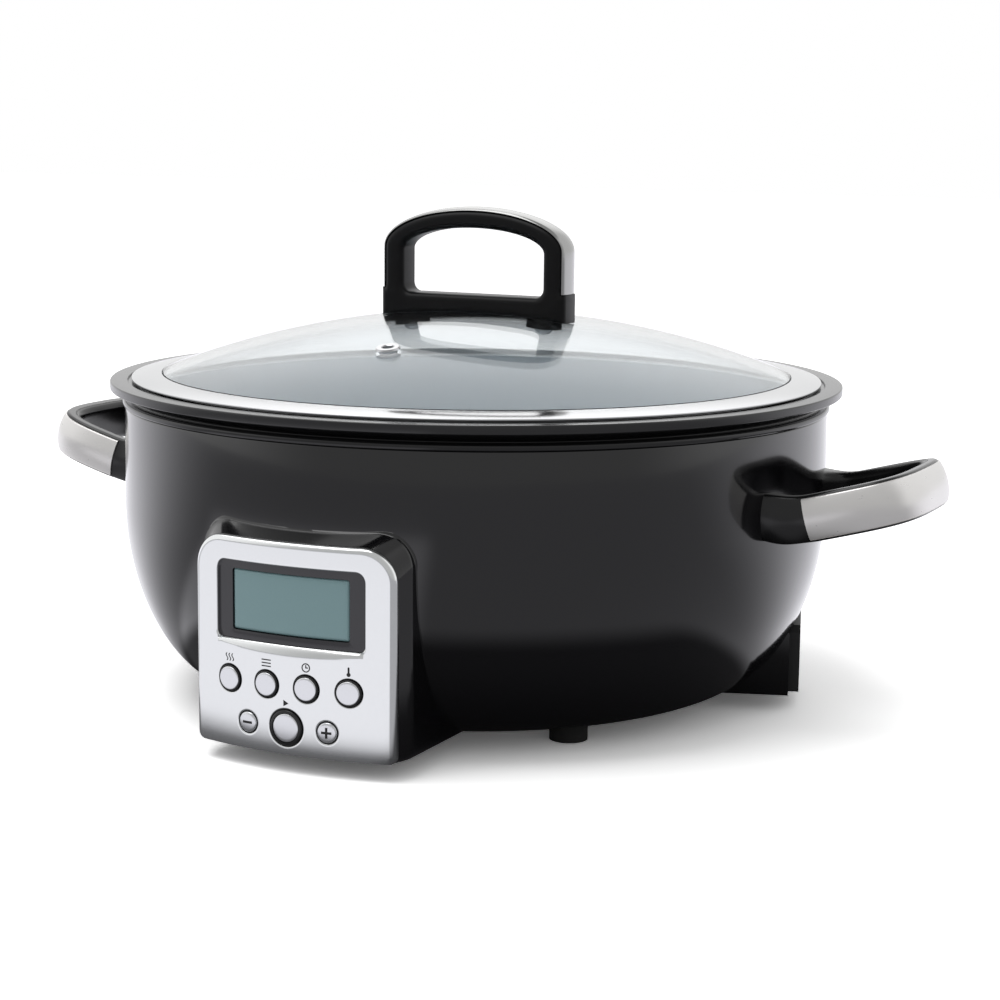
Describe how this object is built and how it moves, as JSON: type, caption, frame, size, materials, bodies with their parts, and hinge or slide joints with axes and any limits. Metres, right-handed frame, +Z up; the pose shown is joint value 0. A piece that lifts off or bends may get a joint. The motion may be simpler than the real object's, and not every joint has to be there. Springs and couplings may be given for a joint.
{
  "type": "multicooker",
  "caption": "Round electric multicooker with a lift-off domed glass lid, lift-out pot, loop side handles and a front control pod with display and push buttons.",
  "frame": {"origin": "on the pot axis at floor level, under the feet", "axes": "+Z up, -Y towards the front with the controls, +X towards the right handle"},
  "size_m": [0.4326, 0.3361, 0.2203],
  "materials": {
    "housing_black": "glossy black moulded housing",
    "base_black": "matt black base cover",
    "foot_rubber": "dark grey rubber",
    "ring_black": "satin black heat-resistant ring",
    "liner_steel": "aluminised sheet",
    "plate_alloy": "cast alloy",
    "element_steel": "oxidised tube",
    "screw_steel": "plated screws",
    "ceramic_white": "heat-proof sleeve",
    "board_green": "circuit board",
    "relay_blue": "moulded case",
    "coil_brown": "wound coil with tape",
    "ribbon_grey": "flat ribbon",
    "bezel_silver": "bright silver panel",
    "window_smoke": "smoked clear window",
    "lcd_grey": "grey-green display",
    "button_silver": "bright silver caps",
    "start_black": "gloss black ring",
    "pin_brass": "contact pins",
    "handle_black": "satin black heat-resistant resin",
    "strip_steel": "satin stainless strip",
    "pot_coating": "dark non-stick coating over cast alloy",
    "lid_glass_clear": "clear tempered glass",
    "band_steel": "polished stainless band"
  },
  "bodies": {
    "base": {"housing_shell": "housing_black", "base_cover": "base_black", "rubber_feet": "foot_rubber", "base_screws": "screw_steel", "top_ring": "ring_black", "heat_liner": "liner_steel", "heating_plate": "plate_alloy", "heating_element": "element_steel", "heater_posts": "element_steel", "heater_screws": "screw_steel", "thermal_fuse": "ceramic_white", "fuse_clip": "screw_steel", "sensor_bracket": "element_steel", "sensor_spring": "screw_steel", "power_board": "board_green", "power_relay": "relay_blue", "transformer": "coil_brown", "board_screws": "screw_steel", "ribbon_cable": "ribbon_grey", "pod_housing": "housing_black", "control_bezel": "bezel_silver", "lcd_window": "window_smoke", "lcd_module": "lcd_grey", "control_board": "board_green", "tact_switches": "base_black", "bezel_screws": "screw_steel", "inlet_housing": "housing_black", "inlet_plate": "base_black", "inlet_pins": "pin_brass", "inlet_magnets": "screw_steel", "left_handle": "handle_black", "right_handle": "handle_black", "left_handle_strip": "strip_steel", "right_handle_strip": "strip_steel", "handle_screws": "screw_steel"},
    "sensor": {"sensor_cap": "plate_alloy"},
    "mode_button": {"mode_button": "button_silver"},
    "menu_button": {"menu_button": "button_silver"},
    "time_button": {"time_button": "button_silver"},
    "heat_button": {"heat_button": "button_silver"},
    "minus_button": {"minus_button": "button_silver"},
    "start_button": {"start_button": "start_black", "start_cap": "button_silver"},
    "plus_button": {"plus_button": "button_silver"},
    "pot": {"cooking_pot": "pot_coating"},
    "lid": {"lid_glass": "lid_glass_clear", "lid_band": "band_steel", "lid_handle": "handle_black", "lid_handle_strap": "strip_steel", "lid_washers": "foot_rubber", "lid_screws": "screw_steel", "vent_grommet": "band_steel"}
  },
  "joints": [
    {"name": "sensor_press", "type": "slide", "parent": "base", "child": "sensor", "axis": [0, 0, 1], "range_m": [-0.003, 0], "stiffness_N_per_m": 400, "deforming": ["sensor_spring"]},
    {"name": "mode_button_press", "type": "slide", "parent": "base", "child": "mode_button", "axis": [0, 1, 0], "range_m": [0, 0.0008], "stiffness_N_per_m": 1000},
    {"name": "menu_button_press", "type": "slide", "parent": "base", "child": "menu_button", "axis": [0, 1, 0], "range_m": [0, 0.0008], "stiffness_N_per_m": 1000},
    {"name": "time_button_press", "type": "slide", "parent": "base", "child": "time_button", "axis": [0, 1, 0], "range_m": [0, 0.0008], "stiffness_N_per_m": 1000},
    {"name": "heat_button_press", "type": "slide", "parent": "base", "child": "heat_button", "axis": [0, 1, 0], "range_m": [0, 0.0008], "stiffness_N_per_m": 1000},
    {"name": "minus_button_press", "type": "slide", "parent": "base", "child": "minus_button", "axis": [0, 1, 0], "range_m": [0, 0.0008], "stiffness_N_per_m": 1000},
    {"name": "start_button_press", "type": "slide", "parent": "base", "child": "start_button", "axis": [0, 1, 0], "range_m": [0, 0.0008], "stiffness_N_per_m": 1000},
    {"name": "plus_button_press", "type": "slide", "parent": "base", "child": "plus_button", "axis": [0, 1, 0], "range_m": [0, 0.0008], "stiffness_N_per_m": 1000},
    {"name": "pot_lift", "type": "slide", "parent": "base", "child": "pot", "axis": [0, 0, 1], "range_m": [0, 0.16]},
    {"name": "lid_lift", "type": "slide", "parent": "pot", "child": "lid", "axis": [0, 0, 1], "range_m": [0, 0.12]}
  ]
}
